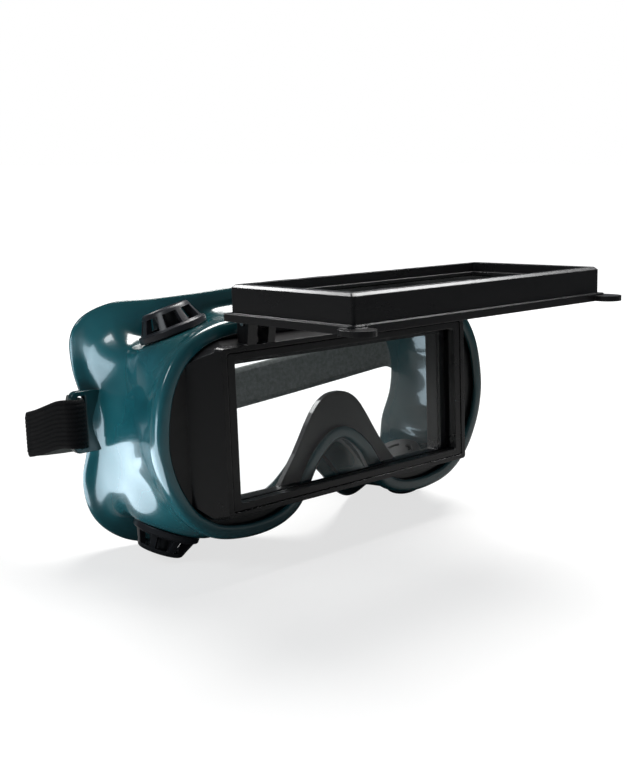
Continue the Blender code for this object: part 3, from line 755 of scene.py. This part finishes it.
def vent_cap(which, side, word, look):
    """Hollow cap: a disc and a cone with windows, on a spigot that enters the body."""
    base, top, tall = VENT_BASE_RADIUS, VENT_TOP_RADIUS, VENT_HEIGHT
    inner, outer = SPIGOT_RADII
    # Up the spigot, round the disc, up the cone to the middle of the top, and back inside.
    profile = (
        (outer, SPIGOT_END), (outer, 0.0), (base - 0.2, 0.0), (base, 0.25), (base, 2.0), (base - 0.25, 2.35),
        (base - 1.0, 2.5), (top + 0.25, tall - 0.9), (top, tall - 0.35), (top - 0.45, tall),
        (top - 1.6, tall), (top - 2.0, tall - 0.3), (0, tall - 0.3), (0, 1.5), (4.4, 1.5),
        (4.9, tall - 1.5), (top - 1.6, tall - 1.5), (base - 3.1, 1.4),
        (base - 3.9, 0.8), (inner, 0.6), (inner, SPIGOT_END),
    )
    where = TO_WORLD @ vent_matrix(which, side)
    cap = turned(f"vent_cap_{which}_{word}_shell", profile, CAP_STEPS, where, look)
    bm = bmesh.new()
    low, high = WINDOW_BOTTOM, WINDOW_TOP
    for k in range(WINDOW_COUNT):
        turn = Matrix.Rotation(math.radians(360 / WINDOW_COUNT * (k + FIRST_WINDOW)), 4, "Z")
        corners = []
        for x in WINDOW_RADII:
            half = WINDOW_SPREAD * x
            corners += [(x, -half, low), (x, half, low), (x, half, high), (x, -half, high)]
        made = [bm.verts.new(where @ turn @ (Vector(c) * MM)) for c in corners]
        for face in ((0, 1, 2, 3), (7, 6, 5, 4), (0, 4, 5, 1), (1, 5, 6, 2), (2, 6, 7, 3), (3, 7, 4, 0)):
            bm.faces.new([made[i] for i in face])
    apply_cut(cap, new_object("window_cutter", bm, look))
    cap.data.shade_smooth()
    cap.data.set_sharp_from_angle(angle=math.radians(32))
    return cap


# ---------------------------------------------------------------- strap


def strap_path():
    """Middle of the strap as (x, n, h), from the left end's tail to the right end's tail."""
    left = [
        (-81.0, -62.0, 1.8), (-81.6, -58.5, 1.8), (-81.7, -55.0, 1.8), (-81.7, -51.6, 1.8),
        (-81.9, -50.0, 1.8), (-82.9, -49.1, 1.8), (-84.6, -49.0, 1.8), (-86.0, -49.6, 1.8),
        (-86.9, -51.2, 1.8), (-87.0, -54.0, 1.5), (-86.8, -60.0, 0.4), (-86.3, -68.0, -1.9),
        (-85.5, -76.0, -4.2), (-84.8, -82.0, -5.7), (-84.2, -86.5, -6.7), (-83.0, -89.4, -7.3),
        (-80.8, -90.9, -7.7), (-78.0, -91.3, -8.0), (-74.0, -90.9, -8.3),
    ]
    start, end, sag, spans = (-74.0, -90.9, -9.4), (80.0, -66.3, 8.5), 3.4, 15
    across = []
    for k in range(1, spans):
        f = k / spans
        x, n, h = [a + (b - a) * f for a, b in zip(start, end)]
        across.append((x, n, h - sag * f * (1 - f)))
    right = [
        (80.6, -65.8, 8.5), (83.4, -64.4, 7.8), (85.4, -62.0, 6.6), (86.6, -58.0, 4.4),
        (87.0, -54.0, 2.6), (86.9, -51.2, 1.8), (86.0, -49.6, 1.8), (84.6, -49.0, 1.8),
        (82.9, -49.1, 1.8), (81.9, -50.0, 1.8), (81.7, -51.6, 1.8), (81.7, -55.0, 1.8),
        (81.3, -58.0, 1.8), (80.5, -60.6, 1.8),
    ]
    return left + across + right


def smooth_path(points, step, parts=24):
    """Even steps, in millimetres, along a smooth curve through the points."""
    fine = []
    last = len(points) - 1
    for i in range(last):
        picks = [Vector(points[min(max(k, 0), last)]) for k in (i - 1, i, i + 1, i + 2)]
        fine += [catmull_rom(*picks, part / parts) for part in range(parts)]
    fine.append(Vector(points[-1]))
    even = [fine[0]]
    travelled = 0.0
    for a, b in zip(fine, fine[1:]):
        length = (b - a).length
        while travelled + length >= step:
            a = a + (b - a) * ((step - travelled) / length)
            even.append(a)
            length = (b - a).length
            travelled = 0.0
        travelled += length
    return even


def strap_profile():
    """Ribbed cross-section: across and out in millimetres, and the place across for the look.

    The place runs 0 to 1 on the ribbed outside and 2 to 3 on the smooth inside.
    """
    count = STRAP_RIBS * STEPS_PER_RIB
    inside, outside = 1, -1
    thinnest = 0.05
    found = []
    for face in (inside, outside):
        for k in range(count + 1)[::face]:
            f = k / count
            rib, place = 0.8, f + 2
            if face == outside:
                rib, place = abs(math.sin(math.pi * STRAP_RIBS * f)) ** 0.7, f
            edge = min(1.0, 8.0 * min(f, 1 - f)) ** 0.5
            lift = max(STRAP_THICK / 2 * edge * (1 - RIB_DEPTH + RIB_DEPTH * rib), thinnest)
            found.append((STRAP_WIDTH / 2 * (1 - 2 * f), face * lift, place))
    return found


def woven_face(bm, layer, corners):
    """Face between corners that are (vertex, place along, place across)."""
    face = bm.faces.new([vertex for vertex, _, _ in corners])
    for loop, (_, along, across) in zip(face.loops, corners):
        loop[layer].uv = (along, across)


def strap_band(look):
    """Strap whose ribbed profile follows its path, standing on edge all the way."""
    path = smooth_path(strap_path(), STRAP_STEP)
    profile = strap_profile()
    upward = Vector((0, 0, 1))
    bm = bmesh.new()
    layer = bm.loops.layers.uv.new("along")
    grid = []
    for i, place in enumerate(path):
        way = path[min(i + 1, len(path) - 1)] - path[max(i - 1, 0)]
        out = Vector((-way.y, way.x, 0)).normalized()
        row = []
        for side, lift, f in profile:
            vertex = bm.verts.new(point(*(place + upward * side + out * lift)))
            row.append((vertex, i * STRAP_STEP, f))
        grid.append(row)
    for a, b in zip(grid, grid[1:]):
        for k in range(len(a)):
            m = (k + 1) % len(a)
            woven_face(bm, layer, (a[k], a[m], b[m], b[k]))
    for row in (grid[0], grid[-1]):
        woven_face(bm, layer, row)
    return new_object("strap_band", bm, look, sharp_angle=60)


# ---------------------------------------------------------------- making it all


def make_lights():
    """Makes all the lamps and gives back the two sets that light only some pieces."""
    middle = (0, 0, 0.05)
    pale_blue = (0.70, 0.88, 1.0)
    add_light("overhead", (0.24, 0.12, 0.72), middle, (0.50, 0.38), 9.0, (1.0, 0.99, 0.97))
    add_light("high_left", (-0.65, 0.0, 0.55), middle, (0.16, 0.22), 1.1, (0.92, 0.97, 1.0))
    edge_lights = (
        add_light("high_back", (-0.20, 0.78, 0.70), middle, (0.50, 0.16), 5.5),
        add_light("high_right", (0.70, -0.22, 0.82), middle, (0.40, 0.16), 5.0),
    )
    cards = (
        add_light("table_glow", (-0.34, 0.01, 0.003), (-0.34, 0.01, 1.0), (0.48, 0.26), 2.4, pale_blue),
        add_light("low_card", (-0.58, 0.06, 0.05), (0.0, 0.02, 0.05), (0.40, 0.10), 0.8, pale_blue),
    )
    for card in cards:
        card.visible_camera = False
    return edge_lights, cards


def dress_nodes(nodes, vent_black):
    """Gives each CAD piece that stays visible its material."""
    shell_black = moulded_black("frame_plastic", (0.0095, 0.0088, 0.0095), 0.27)
    rubber, steel = seal_rubber(), pin_steel()
    looks = {
        "lens_carrier": shell_black,
        "window_retainer": shell_black,
        "lift_frame": shell_black,
        "shade_retainer": shell_black,
        "window_lens": clear_plate("clear_window", (0.97, 0.985, 0.985), 0.03),
        "cover_lens": clear_plate("clear_cover", (0.93, 0.96, 0.95), 0.03),
        "shade_lens": shade_filter(),
        "window_gasket": rubber,
        "shade_gasket": rubber,
    }
    for _, word in SIDES:
        looks[f"hinge_pin_{word}"] = steel
        for which in VENTS:
            looks[f"vent_disc_{which}_{word}"] = vent_black
    for name, look in looks.items():
        slots = nodes[name].data.materials
        slots.clear()
        slots.append(look)


def main():
    make_camera()
    make_world()
    make_floor()
    edge_lights, cards = make_lights()
    bpy.context.scene.view_settings.view_transform = "Standard"

    vinyl = soft_vinyl()
    vent_black = moulded_black("vent_plastic", (0.026, 0.026, 0.031), 0.33, 1.6, 0.0003)
    nodes = frame["nodes"]
    dress_nodes(nodes, vent_black)

    body = body_shell(vinyl)
    stands_for(body, "goggles", "soft_body", "goggle_body")
    shine_only_on(cards, (body,))
    shine_only_on(edge_lights, [nodes[name] for name in ("lift_frame", "shade_retainer", "lens_carrier")])
    for side, word in SIDES:
        ear = strap_ear(side, word, vinyl)
        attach(ear, "goggles")
        for which in VENTS:
            cap = vent_cap(which, side, word, vent_black)
            stands_for(cap, "goggles", "black_plastic", f"vent_cap_{which}_{word}")
    band = strap_band(elastic_webbing())
    stands_for(band, "goggles", "strap_elastic", "head_strap")


main()
